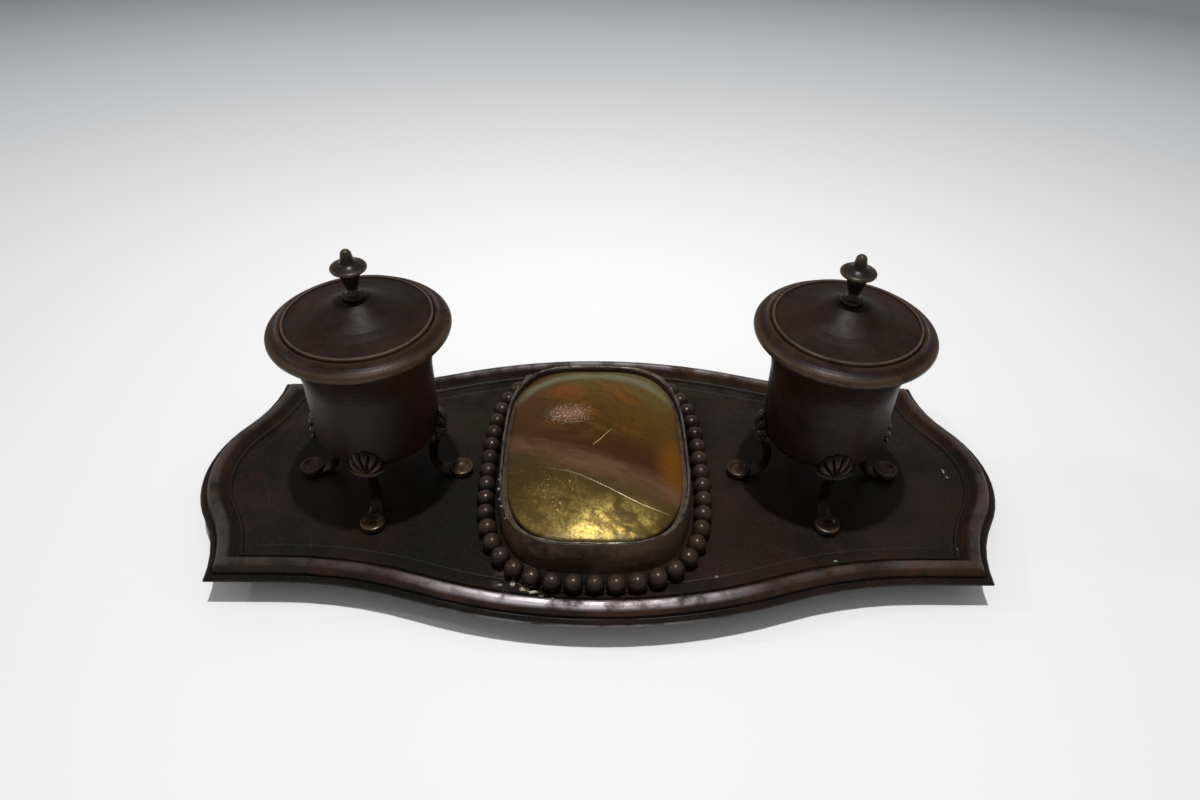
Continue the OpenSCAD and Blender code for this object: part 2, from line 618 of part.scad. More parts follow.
// turned finial: collar, waist, flared neck, disc and teat, with a stud through the lid
module finial(px) {
    k = finial_h / 20.1;
    color(brassy) translate([px, 0, lid_top_z]) rotate_extrude($fn = turn_fn) polygon(concat(
        [[0, -lid_t - nut_t - 0.8], [finial_stud_r - 0.3, -lid_t - nut_t - 0.8],
            [finial_stud_r, -lid_t - nut_t - 0.5], [finial_stud_r, 0], [finial_collar_r - 0.2, 0]],
        [for (i = [0 : 4]) [finial_collar_r - 0.8 + 0.8 * cos(-60 + 37.5 * i),
            (0.95 + 0.8 * sin(-60 + 37.5 * i)) * k]],
        [for (i = [0 : 5]) let (t = i / 5) [finial_waist_r + (finial_collar_r - 1.3 - finial_waist_r)
            * pow(1 - t, 2.4), (1.8 + 2.4 * t) * k]],
        [for (i = [1 : 6]) let (t = i / 6) [finial_waist_r + (finial_neck_r - finial_waist_r)
            * pow(t, 0.85), (4.2 + 7.2 * t) * k]],
        [for (i = [0 : 5]) let (t = -75 + 30 * i) [finial_disc_r - 0.75 + 0.75 * cos(t),
            (12.6 + 0.75 * sin(t)) * k]],
        [for (i = [1 : 6]) let (t = i / 6) [finial_teat_r + (finial_disc_r - 0.75 - finial_teat_r)
            * pow(1 - t, 1.9), (13.35 + 3.6 * t) * k]],
        [[finial_teat_r + 0.1, 17.8 * k]],
        [for (i = [0 : 4]) [(finial_teat_r + 0.1) * cos(22.5 * i), (18.3 + 1.8 * sin(22.5 * i)) * k]]));
}

// hexagon nut under the lid
module finial_nut(px) {
    color(brassy) translate([px, 0, lid_top_z - lid_t - nut_t]) difference() {
        cylinder(r = nut_flats / sqrt(3), h = nut_t, $fn = 6);
        translate([0, 0, -1]) cylinder(r = finial_stud_r + fit, h = nut_t + 2, $fn = small_fn);
    }
}
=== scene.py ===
import math
import bpy
import bmesh
from mathutils import Matrix, Vector, noise


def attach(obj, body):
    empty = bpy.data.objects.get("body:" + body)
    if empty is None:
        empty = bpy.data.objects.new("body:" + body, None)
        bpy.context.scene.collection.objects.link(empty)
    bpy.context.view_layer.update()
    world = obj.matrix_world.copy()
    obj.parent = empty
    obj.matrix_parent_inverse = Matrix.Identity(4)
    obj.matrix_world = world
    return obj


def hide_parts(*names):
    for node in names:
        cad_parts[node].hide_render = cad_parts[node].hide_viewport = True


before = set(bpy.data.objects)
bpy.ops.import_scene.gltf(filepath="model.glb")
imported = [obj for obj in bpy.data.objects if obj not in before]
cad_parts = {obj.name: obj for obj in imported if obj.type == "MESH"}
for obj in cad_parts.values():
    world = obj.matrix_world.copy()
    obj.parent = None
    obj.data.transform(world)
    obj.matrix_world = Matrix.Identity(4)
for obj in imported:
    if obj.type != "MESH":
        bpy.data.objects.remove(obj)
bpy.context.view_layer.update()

MM = 0.001

# ---------------------------------------------------------------- sizes
# Places and sizes of the part that the dressing follows, in millimetres.
PAN_Z = 13.4
POT_X = 92.5
LID_TOP = 103.0
CENTRE_X = -2.5

# glass: half sizes, bottom, top of its edge, rise of its crown, how far the crown's arc swings
GLASS_X, GLASS_Y = 36.3, 52.1
GLASS_LOW, GLASS_EDGE, GLASS_CROWN = PAN_Z + 11.6, PAN_Z + 14.8, 7.0
GLASS_SWING = math.radians(70)

# bezel wall: half sizes at the top, height, how far it leans in at the top, power of its oval
BEZEL_TOP_X, BEZEL_TOP_Y = 39.3, 55.1
BEZEL_HEIGHT, BEZEL_LEAN = 16, 1.1
BEZEL_TOP = PAN_Z + BEZEL_HEIGHT
BEZEL_SQUARE = 3.4

# ---------------------------------------------------------------- camera
CAMERA_AT = Vector((-5.6, -272.7, 280.9)) * MM
CAMERA_YAW = math.radians(1.033)
CAMERA_PITCH = math.radians(39.72)
CAMERA_ROLL = math.radians(1.11)
CAMERA_LENS = 26.117
CAMERA_SENSOR = 36.0
CAMERA_NEAR = 0.01

camera_data = bpy.data.cameras.new("camera")
camera_data.sensor_fit = "HORIZONTAL"
camera_data.sensor_width = CAMERA_SENSOR
camera_data.lens = CAMERA_LENS
camera_data.clip_start = CAMERA_NEAR
camera = bpy.data.objects.new("camera", camera_data)
bpy.context.scene.collection.objects.link(camera)
camera.matrix_world = (Matrix.Translation(CAMERA_AT)
                       @ Matrix.Rotation(-CAMERA_YAW, 4, "Z")
                       @ Matrix.Rotation(math.pi / 2 - CAMERA_PITCH, 4, "X")
                       @ Matrix.Rotation(CAMERA_ROLL, 4, "Z"))
bpy.context.scene.camera = camera
bpy.context.scene.view_settings.view_transform = "Standard"


# ---------------------------------------------------------------- material helper
def tone(*levels):
    """Linear colour of three display levels from 0 to 255."""
    return tuple(((v / 255 + 0.055) / 1.055) ** 2.4 if v > 10 else v / 255 / 12.92 for v in levels)


class Look:
    """One material's node tree, built from inputs to shader.

    Places are object coordinates in metres, which stay with the piece that carries them.
    """

    def __init__(self, name, shader="ShaderNodeBsdfPrincipled"):
        self.material = bpy.data.materials.new(name)
        self.material.use_nodes = True
        self.tree = self.material.node_tree
        self.tree.nodes.clear()
        output = self.tree.nodes.new("ShaderNodeOutputMaterial")
        self.shader = self.tree.nodes.new(shader)
        self.tree.links.new(self.shader.outputs[0], output.inputs[0])
        self.place = self.tree.nodes.new("ShaderNodeTexCoord").outputs["Object"]

    def put(self, socket, value):
        """Link a socket's value, or set a number or colour on the socket itself."""
        if isinstance(value, bpy.types.NodeSocket):
            self.tree.links.new(value, socket)
        elif isinstance(value, (tuple, list)) and len(value) == 3 and socket.type == "RGBA":
            socket.default_value = (*value, 1)
        else:
            socket.default_value = value

    def set(self, **values):
        """Put values on the shader's sockets, named with _ for a space."""
        for name, value in values.items():
            self.put(self.shader.inputs[name.replace("_", " ")], value)

    def math(self, operation, a, b=None, clamp=False):
        """One sum of one or two values; clamp keeps it between 0 and 1."""
        node = self.tree.nodes.new("ShaderNodeMath")
        node.operation = operation
        node.use_clamp = clamp
        self.put(node.inputs[0], a)
        if b is not None:
            self.put(node.inputs[1], b)
        return node.outputs[0]

    def plus(self, a, b, clamp=False):
        return self.math("ADD", a, b, clamp)

    def minus(self, a, b):
        return self.math("SUBTRACT", a, b)

    def times(self, first, *others):
        for other in others:
            first = self.math("MULTIPLY", first, other)
        return first

    def length(self, a, b):
        """Length of a flat vector."""
        squares = self.plus(self.math("POWER", a, 2), self.math("POWER", b, 2))
        return self.math("SQRT", squares)

    def mix(self, factor, a, b, blend="MIX"):
        """Colour that goes from a at factor 0 to b at factor 1."""
        node = self.tree.nodes.new("ShaderNodeMix")
        node.data_type = "RGBA"
        node.blend_type = blend
        self.put(node.inputs[0], factor)
        self.put(node.inputs[6], a)
        self.put(node.inputs[7], b)
        return node.outputs[2]

    def mapped(self, scale=(1, 1, 1), turn=(0, 0, 0), shift=(0, 0, 0), vector=None):
        """A place that is scaled, then turned, then shifted."""
        node = self.tree.nodes.new("ShaderNodeMapping")
        self.put(node.inputs["Vector"], vector or self.place)
        node.inputs["Location"].default_value = shift
        node.inputs["Rotation"].default_value = turn
        node.inputs["Scale"].default_value = scale
        return node.outputs[0]

    def noise(self, scale, detail=4, rough=0.55, vector=None, warp=0.0):
        """Fractal noise from 0 to 1."""
        node = self.tree.nodes.new("ShaderNodeTexNoise")
        self.put(node.inputs["Vector"], vector or self.place)
        node.inputs["Scale"].default_value = scale
        node.inputs["Detail"].default_value = detail
        node.inputs["Roughness"].default_value = rough
        node.inputs["Distortion"].default_value = warp
        return node.outputs["Fac"]

    def cells(self, scale, vector=None):
        """Distance from the nearest point of a scatter."""
        node = self.tree.nodes.new("ShaderNodeTexVoronoi")
        self.put(node.inputs["Vector"], vector or self.place)
        node.inputs["Scale"].default_value = scale
        return node.outputs["Distance"]

    def step(self, value, low, high, start=0.0, end=1.0, smooth=True):
        """From start to end as a value goes from low to high, where low may be the larger."""
        node = self.tree.nodes.new("ShaderNodeMapRange")
        node.interpolation_type = "SMOOTHSTEP" if smooth else "LINEAR"
        self.put(node.inputs["Value"], value)
        node.inputs["From Min"].default_value = low
        node.inputs["From Max"].default_value = high
        node.inputs["To Min"].default_value = start
        node.inputs["To Max"].default_value = end
        return node.outputs[0]

    def between(self, value, low, high, soft):
        """1 from low to high and 0 outside, with both edges softened."""
        return self.times(self.step(value, low - soft, low + soft),
                          self.step(value, high - soft, high + soft, 1, 0))

    def ramp(self, value, stops, ease="EASE"):
        """Colour of a value from 0 to 1, by stops of place and colour."""
        node = self.tree.nodes.new("ShaderNodeValToRGB")
        node.color_ramp.interpolation = ease
        self.put(node.inputs[0], value)
        ends = node.color_ramp.elements
        while len(ends) < len(stops):
            ends.new(0.5)
        for element, (place, colour) in zip(ends, sorted(stops)):
            element.position = place
            element.color = (*colour, 1)
        return node.outputs[0]

    def axes(self, vector=None):
        """x, y and z of a place."""
        node = self.tree.nodes.new("ShaderNodeSeparateXYZ")
        self.put(node.inputs[0], vector or self.place)
        return node.outputs

    def height(self):
        """Height above the pan, in millimetres."""
        return self.minus(self.times(self.axes()[2], 1 / MM), PAN_Z)

    def pot_radius(self):
        """Distance from the axis of the nearer pot, in millimetres."""
        x, y, _ = self.axes()
        across = self.minus(self.math("ABSOLUTE", x), POT_X * MM)
        return self.times(self.length(across, y), 1 / MM)

    def bump(self, height, strength, distance):
        """Relief of the shader's surface, where height 1 is a distance in metres."""
        node = self.tree.nodes.new("ShaderNodeBump")
        node.inputs["Strength"].default_value = strength
        node.inputs["Distance"].default_value = distance
        self.put(node.inputs["Height"], height)
        self.put(self.shader.inputs["Normal"], node.outputs[0])


# ---------------------------------------------------------------- patinated bronze
VERDIGRIS = tone(46, 52, 46)
SCRATCH = tone(74, 70, 65)
SCRATCHES = ((0.5, 26, 0.0), (-0.35, 34, 0.7), (1.3, 30, 0.3))    # turn, length, seed
MOTTLE_LIGHT, PIT_DARK = 1.7, 0.35                               # shares of a ground colour
GRAIN_STRENGTH, GRAIN_DEPTH = 0.35, 0.00012


def bronze(name, dark, warm, patches=(30, 0.44, 0.62), rough=(0.34, 0.5), metal=0.05, gloss=0.2,
           shade=None, green=0.0, scratched=0.0,
           rubbing_and_sheen=None, rubbing_and_sheen_colour=tone(90, 72, 56), shine=0.55, polish=0.08):
    """Patinated bronze: brown patches on a dark ground, mottling, worn places and painted
    highlights, fine grain.

    patches: scale of the brown patches, and the noise from which and at which they show.
    shade(look, ground): the ground colour with the marks that belong to one piece.
    green, scratched: how strong verdigris spots and drawn scratches are.
    rubbing_and_sheen(look): how far each place is worn, and on the tray, lids and beads also where
    a highlight is painted. There it takes rubbing_and_sheen_colour, shine is added to the metallic
    value and polish is taken off the roughness.
    """
    look = Look(name)
    scale, low, high = patches
    ground = look.ramp(look.noise(scale, 6, 0.62, warp=0.4), [(low, dark), (high, warm)])
    mottle = look.noise(170, 6, 0.7)
    ground = look.mix(look.step(mottle, 0.36, 0.72, 0.0, 0.5), ground,
                      tuple(c * MOTTLE_LIGHT for c in warm))
    pits = look.step(look.noise(420, 3, 0.6), 0.54, 0.7, 0.0, 0.6)
    ground = look.mix(pits, ground, tuple(c * PIT_DARK for c in dark))
    if shade is not None:
        ground = shade(look, ground)
    if green:
        spots = look.step(look.noise(85, 8, 0.75), 0.6, 0.74, 0.0, green)
        ground = look.mix(spots, ground, VERDIGRIS)
    if scratched:
        ground = scratches(look, ground, scratched)
    roughness = look.step(look.noise(260, 5, 0.65), 0.3, 0.7, *rough, smooth=False)
    metallic = metal
    if rubbing_and_sheen is not None:
        # Worn places, and on some pieces painted highlights, take a lighter and more metallic
        # colour.
        worn_and_sheen = look.times(rubbing_and_sheen(look), look.step(look.noise(95, 5, 0.6), 0.3, 0.58))
        ground = look.mix(worn_and_sheen, ground, rubbing_and_sheen_colour)
        roughness = look.minus(roughness, look.times(worn_and_sheen, polish))
        metallic = look.plus(look.times(worn_and_sheen, shine), metal)
    look.set(Base_Color=ground, Roughness=roughness, Metallic=metallic, Specular_IOR_Level=gloss)
    grain = look.plus(look.times(mottle, 0.6), look.noise(1300, 3, 0.6))
    look.bump(grain, GRAIN_STRENGTH, GRAIN_DEPTH)
    return look.material


def scratches(look, ground, strength):
    """Fine straight scratches in a few directions."""
    for turn, length, seed in SCRATCHES:
        turned = look.mapped(turn=(0, 0, turn), shift=(seed, 0, 0))
        lines = look.noise(1.0, 2, 0.5, look.mapped((length, 1500, 40), vector=turned))
        ground = look.mix(look.step(lines, 0.72, 0.78, 0.0, strength), ground, SCRATCH)
    return ground


# Each pair is the place from which a mark shows and the place where it is full: a height over
# the pan or a radius from the pot's axis, in millimetres, or a place along x or y on the tray.
ROLL_CREST, FLANGE, MOULDING = (2.6, 4.3), (-0.2, -0.8), (0.3, 1.4)
# The bright middle of the front, the front flange and the back rim carry a painted highlight.
BRIGHT_X = -8 * MM
BRIGHT_ASIDE, BRIGHT_FRONT = (75 * MM, 25 * MM), (-40 * MM, -60 * MM)
BACK_RIM = (50 * MM, 70 * MM)
OLIVE_END = (-60 * MM, -130 * MM)
PAN_DUST_AND_SHEEN = (0.0, 60 * MM)
STAIN_AT, STAIN_EDGE = (-34 * MM, -59 * MM), (11 * MM, 4 * MM)

POT_ROLL_RADIUS, POT_ROLL_HEIGHT, POT_MOUTH = (32.0, 34.2), (73, 75.5), (79.6, 80.7)
POT_FOOT_SHADE, POT_WALL = (46, 26), (71.5, 59.5)
LID_EDGE_WEAR_AND_HIGHLIGHT, LID_EDGE_HIGHLIGHT = (27.0, 27.7), (27.0, 27.6)
FINIAL_DISC, FINIAL_TEAT = (5.6, 6.5), (106.8, 108.6)
KNEE_RADIUS, KNEE_HEIGHT = (26.4, 28.2), (20.5, 24)
PAD_RADIUS, PAD_HEIGHT = (29.5, 31.5), (5.6, 4.8)
HOLLOW_RADIUS, HOLLOW_HEIGHT = (26.6, 25.6), (18, 22)
BEAD_TOP, BEAD_DIRT = (5.8, 7.7), (3.4, 1.2)
BEZEL_EDGE = (15.2, 15.9)
SCREW_END = (0.2, 1.0)

# Each of these is where a mark begins and ends, and how soft its edges are.
LID_MIDDLE_SHADE, LID_EDGE_DARK = (4.4, 8.0, 1.2), (26.4, 27.0, 0.25)
FINIAL_NECK, FINIAL_CUP = (91.5, 94.0, 0.8), (94.4, 101.0, 0.5)


def tray_wear_and_highlight(look):
    """How far the rim is worn, with a painted highlight: most at the middle of the front, some
    along the back.

    The bright metal there is partly worn metal and partly painted highlight. It is fixed to the
    tray, so it stays bright under other light.
    """
    x, y, _ = look.axes()
    height = look.height()
    aside = look.math("ABSOLUTE", look.minus(x, BRIGHT_X))
    front = look.times(look.step(aside, *BRIGHT_ASIDE), look.step(y, *BRIGHT_FRONT))
    share = look.plus(0.05, look.times(front, 0.8))
    share = look.plus(share, look.times(look.step(y, *BACK_RIM), 0.2), clamp=True)
    crest = look.times(look.step(height, *ROLL_CREST), share)
    flange = look.times(look.step(height, *FLANGE), front, 0.3)
    return look.plus(crest, flange, clamp=True)


def moulding_colour(look):
    """Brown, and olive towards the left end."""
    x = look.axes()[0]
    brown = look.mix(look.step(look.noise(48, 5, 0.6, warp=0.5), 0.42, 0.66),
                     tone(36, 26, 19), tone(66, 39, 26))
    olive = look.times(look.step(x, *OLIVE_END), look.step(look.noise(31, 5, 0.6), 0.38, 0.58))
    return look.mix(look.times(olive, 0.8), brown, tone(38, 35, 27))


def pan_colour(look):
    """Green-black and brown with maroon clouds, light and dark grit, and a pink stain.

    The paler back half is partly dust and partly painted sheen.
    """
    x, y, _ = look.axes()
    pan = look.mix(look.step(look.noise(22, 7, 0.66), 0.44, 0.6),
                   tone(15, 16, 12), tone(31, 23, 18))
    shifted = look.mapped(shift=(0.2, 0.1, 0))
    maroon = look.step(look.noise(36, 6, 0.7, shifted), 0.5, 0.64, 0.0, 0.7)
    pan = look.mix(maroon, pan, tone(42, 24, 21))
    # Paler towards the back: partly dust, partly painted sheen.
    pale = look.times(look.step(y, *PAN_DUST_AND_SHEEN), look.step(look.noise(60, 6, 0.7), 0.35, 0.65))
    pan = look.mix(look.times(pale, 0.55), pan, tone(52, 48, 40))
    light_grit = look.step(look.noise(900, 3, 0.7), 0.54, 0.7, 0.0, 0.6)
    pan = look.mix(light_grit, pan, tone(56, 47, 40))
    dark_grit = look.step(look.noise(700, 3, 0.7), 0.56, 0.72, 0.0, 0.7)
    pan = look.mix(dark_grit, pan, tone(11, 11, 9))
    from_stain = look.length(look.minus(x, STAIN_AT[0]), look.minus(y, STAIN_AT[1]))
    stain = look.times(look.step(from_stain, *STAIN_EDGE),
                       look.step(look.noise(190, 5, 0.7), 0.42, 0.6))
    return look.mix(look.times(stain, 0.8), pan, tone(94, 78, 69))


def tray_shade(look, ground):
    """The pan is greener and greyer than the brown moulding."""
    moulded = look.step(look.height(), *MOULDING)
    pan = look.mix(0.85, ground, pan_colour(look))
    return look.mix(look.times(moulded, 0.85), pan, moulding_colour(look))


def pot_wear(look):
    """Rubbed on the roll of the rim and round the mouth."""
    roll = look.times(look.step(look.pot_radius(), *POT_ROLL_RADIUS),
                      look.step(look.height(), *POT_ROLL_HEIGHT))
    mouth = look.step(look.height(), *POT_MOUTH)
    return look.plus(look.times(roll, 0.85), look.times(mouth, 0.45), clamp=True)


def pot_shade(look, ground):
    """Red-brown bloom on the wall below the rim, and painted shade that makes it darkest at the
    foot.
    """
    height = look.height()
    # Painted shade: darker towards the foot.
    ground = look.mix(look.step(height, *POT_FOOT_SHADE, 0.0, 0.7), ground, tone(22, 13, 10))
    wall = look.step(height, *POT_WALL)
    bloom = look.step(look.noise(34, 4, 0.6, warp=0.6), 0.46, 0.64, 0.0, 0.8)
    ground = look.mix(look.times(wall, bloom), ground, tone(47, 22, 15))
    shifted = look.mapped(shift=(0.4, 0, 0))
    cloud = look.step(look.noise(27, 5, 0.6, shifted), 0.48, 0.64, 0.0, 0.75)
    return look.mix(look.times(wall, cloud), ground, tone(34, 29, 19))


def lid_wear_and_highlight(look):
    """Rubbed along the edge, with a painted highlight there."""
    return look.times(look.step(look.pot_radius(), *LID_EDGE_WEAR_AND_HIGHLIGHT), 0.8)


def lid_shade(look, ground):
    """Olive clouds, painted shade round the finial, darker just inside the edge, and a painted
    highlight on the edge.
    """
    radius = look.pot_radius()
    # Painted shade round the finial, and darker just inside the edge.
    dirt_and_shade = look.plus(look.times(look.between(radius, *LID_MIDDLE_SHADE), 2),
                     look.between(radius, *LID_EDGE_DARK))
    cloud = look.step(look.noise(38, 5, 0.6, warp=0.4), 0.5, 0.66, 0.0, 0.5)
    ground = look.mix(cloud, ground, tone(34, 29, 18))
    ground = look.mix(look.times(dirt_and_shade, 0.35), ground, tone(14, 11, 9))
    # Painted highlight: a paler edge.
    return look.mix(look.step(radius, *LID_EDGE_HIGHLIGHT), ground, tone(62, 51, 42))


def finial_wear(look):
    """Rubbed on the edge of the disc and the teat, less on the neck."""
    height = look.height()
    disc = look.step(look.pot_radius(), *FINIAL_DISC)
    teat = look.step(height, *FINIAL_TEAT)
    neck = look.between(height, *FINIAL_NECK)
    top = look.plus(look.times(disc, 0.4), look.times(teat, 0.4))
    return look.plus(top, look.times(neck, 0.25), clamp=True)


def finial_shade(look, ground):
    """Painted shade in the flutes of the cup, laid over the whole cup."""
    cup = look.between(look.height(), *FINIAL_CUP)
    return look.mix(look.times(cup, 0.7), ground, tone(22, 17, 14))


def leg_wear(look):
    """Rubbed on the knee and on the rim of the pad."""
    radius, height = look.pot_radius(), look.height()
    knee = look.times(look.step(radius, *KNEE_RADIUS), look.step(height, *KNEE_HEIGHT))
    pad = look.times(look.step(radius, *PAD_RADIUS), look.step(height, *PAD_HEIGHT))
    return look.plus(look.times(knee, 0.6), look.times(pad, 0.6), clamp=True)


def leg_shade(look, ground):
    """Painted shade in the hollows between the lobes, next to the pot's wall."""
    hollow_shade = look.times(look.step(look.pot_radius(), *HOLLOW_RADIUS),
                        look.step(look.height(), *HOLLOW_HEIGHT))
    return look.mix(look.times(hollow_shade, 0.8), ground, tone(12, 10, 8))


def bead_wear_and_highlight(look):
    """Rubbed on top, with a painted highlight there."""
    return look.times(look.step(look.height(), *BEAD_TOP), 0.5)


def bead_shade(look, ground):
    """Green and tan dirt that has settled between the beads."""
    low = look.step(look.height(), *BEAD_DIRT)
    dirt_and_shade = look.mix(look.step(look.noise(120, 4, 0.6), 0.4, 0.62), tone(42, 50, 45),
                    tone(52, 43, 35))
    share = look.times(low, look.step(look.noise(75, 4, 0.6), 0.4, 0.55))
    return look.mix(share, ground, dirt_and_shade)


def bezel_wear(look):
    """Rubbed along the top edge."""
    return look.times(look.step(look.height(), *BEZEL_EDGE), 0.9)


def lip_wear(look):
    """Rubbed in patches along its length."""
    return look.step(look.noise(140, 4, 0.6), 0.42, 0.6, 0.0, 0.9)


def fastener_shade(look, ground):
    """The ends that come up through the pads are as dark as the legs."""
    return look.mix(look.step(look.height(), *SCREW_END), ground, tone(70, 56, 43))


def crust(name, low, high, rough=0.8, metal=0.0):
    """Grainy dirt or solder between two linear colours."""
    look = Look(name)
    look.set(Base_Color=look.mix(look.step(look.noise(500, 5, 0.7), 0.35, 0.65), low, high),
             Roughness=rough, Metallic=metal)
    look.bump(look.noise(900, 4, 0.7), 0.6, 0.0002)
    return look.material


# ---------------------------------------------------------------- glass
def clear_glass():
    """Slightly green and slightly uneven."""
    look = Look("clear_glass")
    look.set(Transmission_Weight=1.0, IOR=1.5,
             Base_Color=look.mix(look.step(look.noise(40, 3), 0.35, 0.65),
                                 (0.86, 0.94, 0.91), (0.93, 0.97, 0.96)),
             Roughness=look.step(look.noise(150, 4), 0.35, 0.7, 0.01, 0.07))
    look.bump(look.noise(70, 3), 0.15, 0.0003)
    return look.material


BAND_SLOPE = 0.32
# colour across the slanting mauve band, from the front of the glass to its back
BAND = [(-1.25, tone(92, 76, 40)), (-0.95, tone(84, 68, 34)), (-0.72, tone(70, 56, 26)),
        (-0.5, tone(72, 57, 30)), (-0.36, tone(84, 62, 38)), (-0.25, tone(84, 56, 38)),
        (-0.12, tone(66, 33, 19)), (0.02, tone(66, 38, 14)), (0.25, tone(76, 52, 16)),
        (0.55, tone(84, 58, 20)), (0.8, tone(88, 72, 32)), (1.1, tone(92, 84, 52))]
GLITTER_AT = (-0.31, 0.29)


class Glass(Look):
    """The cabochon's node tree. u and v go from -1 to 1 over the glass."""

    def __init__(self, name):
        super().__init__(name)
        self.unit = self.mapped((1 / (GLASS_X * MM), 1 / (GLASS_Y * MM), 40),
                                shift=(-CENTRE_X / GLASS_X, 0, 0))
        self.u, self.v, _ = self.axes(self.unit)
        self.along = self.mapped(turn=(0, 0, math.atan(BAND_SLOPE)), vector=self.unit)
        self.wander = self.noise(1.4, 4, 0.55, self.unit)
        self.cloud = self.streaked((1.5, 5, 1), 6, 0.62, 0.4)
        self.drawn = self.streaked((3, 42, 1), 6, 0.7)
        self.foil = self.streaked((2.0, 3.6, 1), 7, 0.6, 0.5)
        self.creases = self.cells(1.0, self.mapped((7, 11, 1), vector=self.along))
        self.grit = self.noise(30, 3, 0.7, self.unit)

    def streaked(self, scale, detail, rough, warp=0.0):
        """Noise with scales of its own along the band, across it and in depth."""
        return self.noise(1.0, detail, rough, self.mapped(scale, vector=self.along), warp)

    def spot(self, at, half, inner=0.25):
        """1 inside an ellipse at a place on the unit outline, fading to 0 at its edge."""
        across = self.math("DIVIDE", self.minus(self.u, at[0]), half[0])
        down = self.math("DIVIDE", self.minus(self.v, at[1]), half[1])
        return self.step(self.length(across, down), 1.0, inner)

    def slant(self):
        """Distance from the middle of the band, with a wandering edge."""
        straight = self.plus(self.v, self.times(self.u, BAND_SLOPE))
        return self.plus(straight, self.times(self.minus(self.wander, 0.5), 0.36))

    def rings(self):
        """Faint rings drawn round the middle of the back half."""
        reach = self.length(self.plus(self.u, 0.05), self.minus(self.v, 0.2))
        wobble = self.times(self.noise(3, 4, 0.6, self.unit), 22)
        wave = self.math("SINE", self.plus(self.times(reach, 46), wobble))
        lines = self.times(self.step(wave, 0.1, 0.95), self.step(self.cloud, 0.4, 0.6))
        return self.times(self.spot((0.1, 0.4), (1.0, 0.62), 0.6), lines)

    def front(self):
        """Where the front is crumpled: right of the middle, and weaker at the left."""
        right = self.spot((0.18, -0.9), (0.72, 0.34), 0.1)
        left = self.times(self.spot((-0.45, -0.76), (0.6, 0.36), 0.1), 0.3)
        return self.math("MAXIMUM", right, left)

    def glitter(self):
        """Tiny scales in one patch."""
        scales = self.noise(44, 3, 0.7, self.mapped((0.8, 1.2, 1), vector=self.unit))
        return self.times(self.spot(GLITTER_AT, (0.38, 0.19), 0.1),
                          self.step(scales, 0.55, 0.64))


def banded(glass, slant):
    """The colours across the band. The left side is duller: purple over it, olive beneath."""
    low, high = BAND[0][0], BAND[-1][0]
    colour = glass.ramp(glass.step(slant, low, high, smooth=False),
                        [((at - low) / (high - low), c) for at, c in BAND])
    left = glass.step(glass.plus(glass.u, glass.times(glass.wander, 0.5)), 0.05, -0.5)
    dull = glass.mix(glass.step(glass.v, -0.2, 0.1), tone(64, 51, 24), tone(70, 46, 29))
    return glass.mix(glass.times(left, 0.6), colour, dull)


def clouded(glass, colour, slant):
    """Orange and olive clouds behind the band, two orange spots and a broken mauve glow."""
    upper = glass.spot((-0.02, 0.4), (1.0, 0.52), 0.5)
    orange = glass.times(upper, glass.step(glass.cloud, 0.5, 0.7, 0, 0.65))
    colour = glass.mix(orange, colour, tone(112, 62, 16))
    olive = glass.times(upper, glass.step(glass.cloud, 0.48, 0.36, 0, 0.8))
    colour = glass.mix(olive, colour, tone(82, 68, 22))
    right_spot = glass.times(glass.spot((0.95, -0.28), (0.34, 0.45)), 0.8)
    colour = glass.mix(right_spot, colour, tone(112, 68, 10))
    back_spot = glass.times(glass.spot((-0.35, 0.62), (0.35, 0.16)), 0.6)
    colour = glass.mix(back_spot, colour, tone(122, 68, 26))
    glow = glass.times(glass.between(slant, -0.4, -0.2, 0.06),
                       glass.step(glass.cloud, 0.42, 0.62, 0.0, 0.5))
    return glass.mix(glow, colour, tone(108, 78, 58))


def lined(glass, colour, rings):
    """Fine drawn lines along the band, the rings, and a grey-green crescent at the back, a painted
    reflection.
    """
    colour = glass.mix(glass.step(glass.drawn, 0.5, 0.3, 0.0, 0.35), colour, tone(50, 37, 18))
    colour = glass.mix(glass.step(glass.drawn, 0.56, 0.72, 0.0, 0.22), colour,
                       tone(132, 104, 66))
    colour = glass.mix(glass.times(rings, 0.3), colour, tone(52, 36, 14))
    # Painted reflection along the back edge.
    bow = glass.length(glass.times(glass.u, 0.8), glass.plus(glass.v, 0.12))
    bow = glass.plus(bow, glass.times(glass.minus(glass.cloud, 0.5), 0.16))
    crescent = glass.times(glass.between(bow, 0.97, 1.06, 0.04), glass.step(glass.v, 0.4, 0.75))
    return glass.mix(glass.times(crescent, 0.7), colour, tone(112, 112, 88))


def gilded(glass, colour, front, gold):
    """Crumpled gold foil at the front, with olive in its folds and gold dust at the left.

    Its brightness is partly painted highlight.
    """
    colour = glass.mix(glass.times(front, 0.45), colour, tone(116, 98, 48))
    # The bright leaf colour is partly painted highlight.
    leaf = glass.mix(glass.step(glass.grit, 0.35, 0.65), tone(138, 112, 46),
                     tone(216, 190, 112))
    colour = glass.mix(gold, colour, leaf)
    olive = glass.times(front, glass.step(glass.foil, 0.44, 0.34, 0, 0.5))
    colour = glass.mix(olive, colour, tone(76, 76, 46))
    dust = glass.step(glass.noise(13, 6, 0.75, glass.unit), 0.52, 0.68, 0.0, 0.55)
    dusted = glass.times(glass.spot((-0.5, -0.55), (0.62, 0.5), 0.3), dust)
    colour = glass.mix(dusted, colour, tone(122, 96, 50))
    flecks = glass.times(glass.spot((-0.42, -0.62), (0.5, 0.36), 0.2),
                         glass.step(glass.noise(34, 2, 0.6, glass.unit), 0.66, 0.7))
    return glass.mix(flecks, colour, tone(190, 164, 100))


